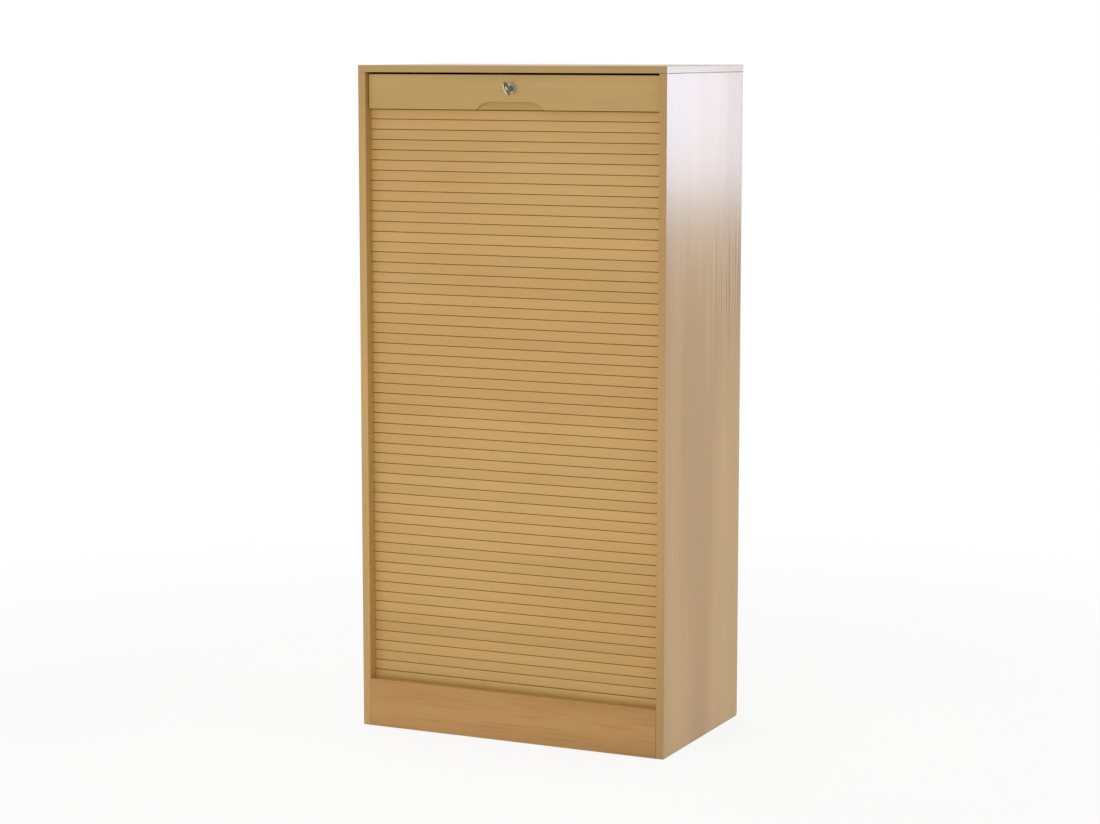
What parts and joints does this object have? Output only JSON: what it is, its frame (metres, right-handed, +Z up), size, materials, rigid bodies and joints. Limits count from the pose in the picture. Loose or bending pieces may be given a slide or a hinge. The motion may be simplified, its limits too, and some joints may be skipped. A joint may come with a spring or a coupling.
{
  "type": "tambour door cabinet",
  "caption": "Tall free-standing office cupboard with a slatted tambour shutter that slides down behind the plinth, a lead rail with a cylinder lock and key, and shelves on pins.",
  "frame": {"origin": "on the floor, at the centre of the space that the cabinet takes up with its key in the lock", "axes": "+Z up, -Y towards the front with the shutter, +X to the right as seen from the front"},
  "size_m": [0.667, 0.4204, 1.345],
  "materials": {
    "beech_board": "satin",
    "slats": "satin",
    "hardboard": "matte",
    "dowel_wood": "matte",
    "chromed_lock": "polished",
    "zinc_steel": "satin"
  },
  "bodies": {
    "carcass": {"side_panel_left": "beech_board", "side_panel_right": "beech_board", "top_panel": "beech_board", "bottom_panel": "beech_board", "plinth_board": "beech_board", "shelf_1": "beech_board", "shelf_2": "beech_board", "shelf_3": "beech_board", "back_panel": "hardboard", "false_back": "hardboard", "dowel_top_left_front": "dowel_wood", "dowel_top_left_rear": "dowel_wood", "dowel_top_right_front": "dowel_wood", "dowel_top_right_rear": "dowel_wood", "dowel_bottom_left_front": "dowel_wood", "dowel_bottom_left_rear": "dowel_wood", "dowel_bottom_right_front": "dowel_wood", "dowel_bottom_right_rear": "dowel_wood", "dowel_plinth_left_lower": "dowel_wood", "dowel_plinth_left_upper": "dowel_wood", "dowel_plinth_right_lower": "dowel_wood", "dowel_plinth_right_upper": "dowel_wood", "shelf_pin_1_left_front": "zinc_steel", "shelf_pin_1_left_rear": "zinc_steel", "shelf_pin_1_right_front": "zinc_steel", "shelf_pin_1_right_rear": "zinc_steel", "shelf_pin_2_left_front": "zinc_steel", "shelf_pin_2_left_rear": "zinc_steel", "shelf_pin_2_right_front": "zinc_steel", "shelf_pin_2_right_rear": "zinc_steel", "shelf_pin_3_left_front": "zinc_steel", "shelf_pin_3_left_rear": "zinc_steel", "shelf_pin_3_right_front": "zinc_steel", "shelf_pin_3_right_rear": "zinc_steel", "strike_plate": "zinc_steel", "strike_screw_1": "zinc_steel", "strike_screw_2": "zinc_steel", "tambour_tail": "slats"},
    "lead_rail": {"lead_rail": "beech_board", "lock_barrel": "chromed_lock", "lock_nut": "zinc_steel"},
    "lock_plug": {"lock_plug": "chromed_lock", "lock_cam": "zinc_steel", "cam_screw": "zinc_steel"},
    "key": {"key": "chromed_lock"},
    "section_01": {"tambour_section_01": "slats"},
    "section_02": {"tambour_section_02": "slats"},
    "section_03": {"tambour_section_03": "slats"},
    "section_04": {"tambour_section_04": "slats"},
    "section_05": {"tambour_section_05": "slats"},
    "section_06": {"tambour_section_06": "slats"},
    "section_07": {"tambour_section_07": "slats"},
    "section_08": {"tambour_section_08": "slats"},
    "section_09": {"tambour_section_09": "slats"},
    "section_10": {"tambour_section_10": "slats"},
    "section_11": {"tambour_section_11": "slats"},
    "section_12": {"tambour_section_12": "slats"},
    "section_13": {"tambour_section_13": "slats"},
    "section_14": {"tambour_section_14": "slats"}
  },
  "joints": [
    {"name": "door_slide", "type": "slide", "parent": "carcass", "child": "lead_rail", "axis": [0, 0, -1], "range_m": [0, 1.1452], "deforming": ["tambour_section_01", "tambour_section_02", "tambour_section_03", "tambour_section_04", "tambour_section_05", "tambour_section_06", "tambour_section_07", "tambour_section_08", "tambour_section_09", "tambour_section_10", "tambour_section_11", "tambour_section_12", "tambour_section_13", "tambour_section_14", "tambour_tail"]},
    {"name": "section_01_slide", "type": "slide", "parent": "carcass", "child": "section_01", "axis": [0, 0, -1], "range_m": [0, 0.0818]},
    {"name": "section_02_slide", "type": "slide", "parent": "carcass", "child": "section_02", "axis": [0, 0, -1], "range_m": [0, 0.1636]},
    {"name": "section_03_slide", "type": "slide", "parent": "carcass", "child": "section_03", "axis": [0, 0, -1], "range_m": [0, 0.2454]},
    {"name": "section_04_slide", "type": "slide", "parent": "carcass", "child": "section_04", "axis": [0, 0, -1], "range_m": [0, 0.3272]},
    {"name": "section_05_slide", "type": "slide", "parent": "carcass", "child": "section_05", "axis": [0, 0, -1], "range_m": [0, 0.409]},
    {"name": "section_06_slide", "type": "slide", "parent": "carcass", "child": "section_06", "axis": [0, 0, -1], "range_m": [0, 0.4908]},
    {"name": "section_07_slide", "type": "slide", "parent": "carcass", "child": "section_07", "axis": [0, 0, -1], "range_m": [0, 0.5726]},
    {"name": "section_08_slide", "type": "slide", "parent": "carcass", "child": "section_08", "axis": [0, 0, -1], "range_m": [0, 0.6544]},
    {"name": "section_09_slide", "type": "slide", "parent": "carcass", "child": "section_09", "axis": [0, 0, -1], "range_m": [0, 0.7362]},
    {"name": "section_10_slide", "type": "slide", "parent": "carcass", "child": "section_10", "axis": [0, 0, -1], "range_m": [0, 0.818]},
    {"name": "section_11_slide", "type": "slide", "parent": "carcass", "child": "section_11", "axis": [0, 0, -1], "range_m": [0, 0.8998]},
    {"name": "section_12_slide", "type": "slide", "parent": "carcass", "child": "section_12", "axis": [0, 0, -1], "range_m": [0, 0.9816]},
    {"name": "section_13_slide", "type": "slide", "parent": "carcass", "child": "section_13", "axis": [0, 0, -1], "range_m": [0, 1.0634]},
    {"name": "section_14_slide", "type": "slide", "parent": "carcass", "child": "section_14", "axis": [0, 0, -1], "range_m": [0, 1.1452]},
    {"name": "lock_turn", "type": "hinge", "parent": "lead_rail", "child": "lock_plug", "pos_m": [0, -0.1778, 1.3005], "axis": [0, -1, 0], "range_deg": [-22, 68]},
    {"name": "key_slide", "type": "slide", "parent": "lock_plug", "child": "key", "axis": [0, -1, 0], "range_m": [0, 0.03]}
  ],
  "couplings": [
    {"joint": "section_01_slide", "follows": "door_slide", "ratio": 0.071429},
    {"joint": "section_02_slide", "follows": "door_slide", "ratio": 0.14286},
    {"joint": "section_03_slide", "follows": "door_slide", "ratio": 0.21429},
    {"joint": "section_04_slide", "follows": "door_slide", "ratio": 0.28571},
    {"joint": "section_05_slide", "follows": "door_slide", "ratio": 0.35714},
    {"joint": "section_06_slide", "follows": "door_slide", "ratio": 0.42857},
    {"joint": "section_07_slide", "follows": "door_slide", "ratio": 0.5},
    {"joint": "section_08_slide", "follows": "door_slide", "ratio": 0.57143},
    {"joint": "section_09_slide", "follows": "door_slide", "ratio": 0.64286},
    {"joint": "section_10_slide", "follows": "door_slide", "ratio": 0.71429},
    {"joint": "section_11_slide", "follows": "door_slide", "ratio": 0.78571},
    {"joint": "section_12_slide", "follows": "door_slide", "ratio": 0.85714},
    {"joint": "section_13_slide", "follows": "door_slide", "ratio": 0.92857},
    {"joint": "section_14_slide", "follows": "door_slide", "ratio": 1}
  ]
}
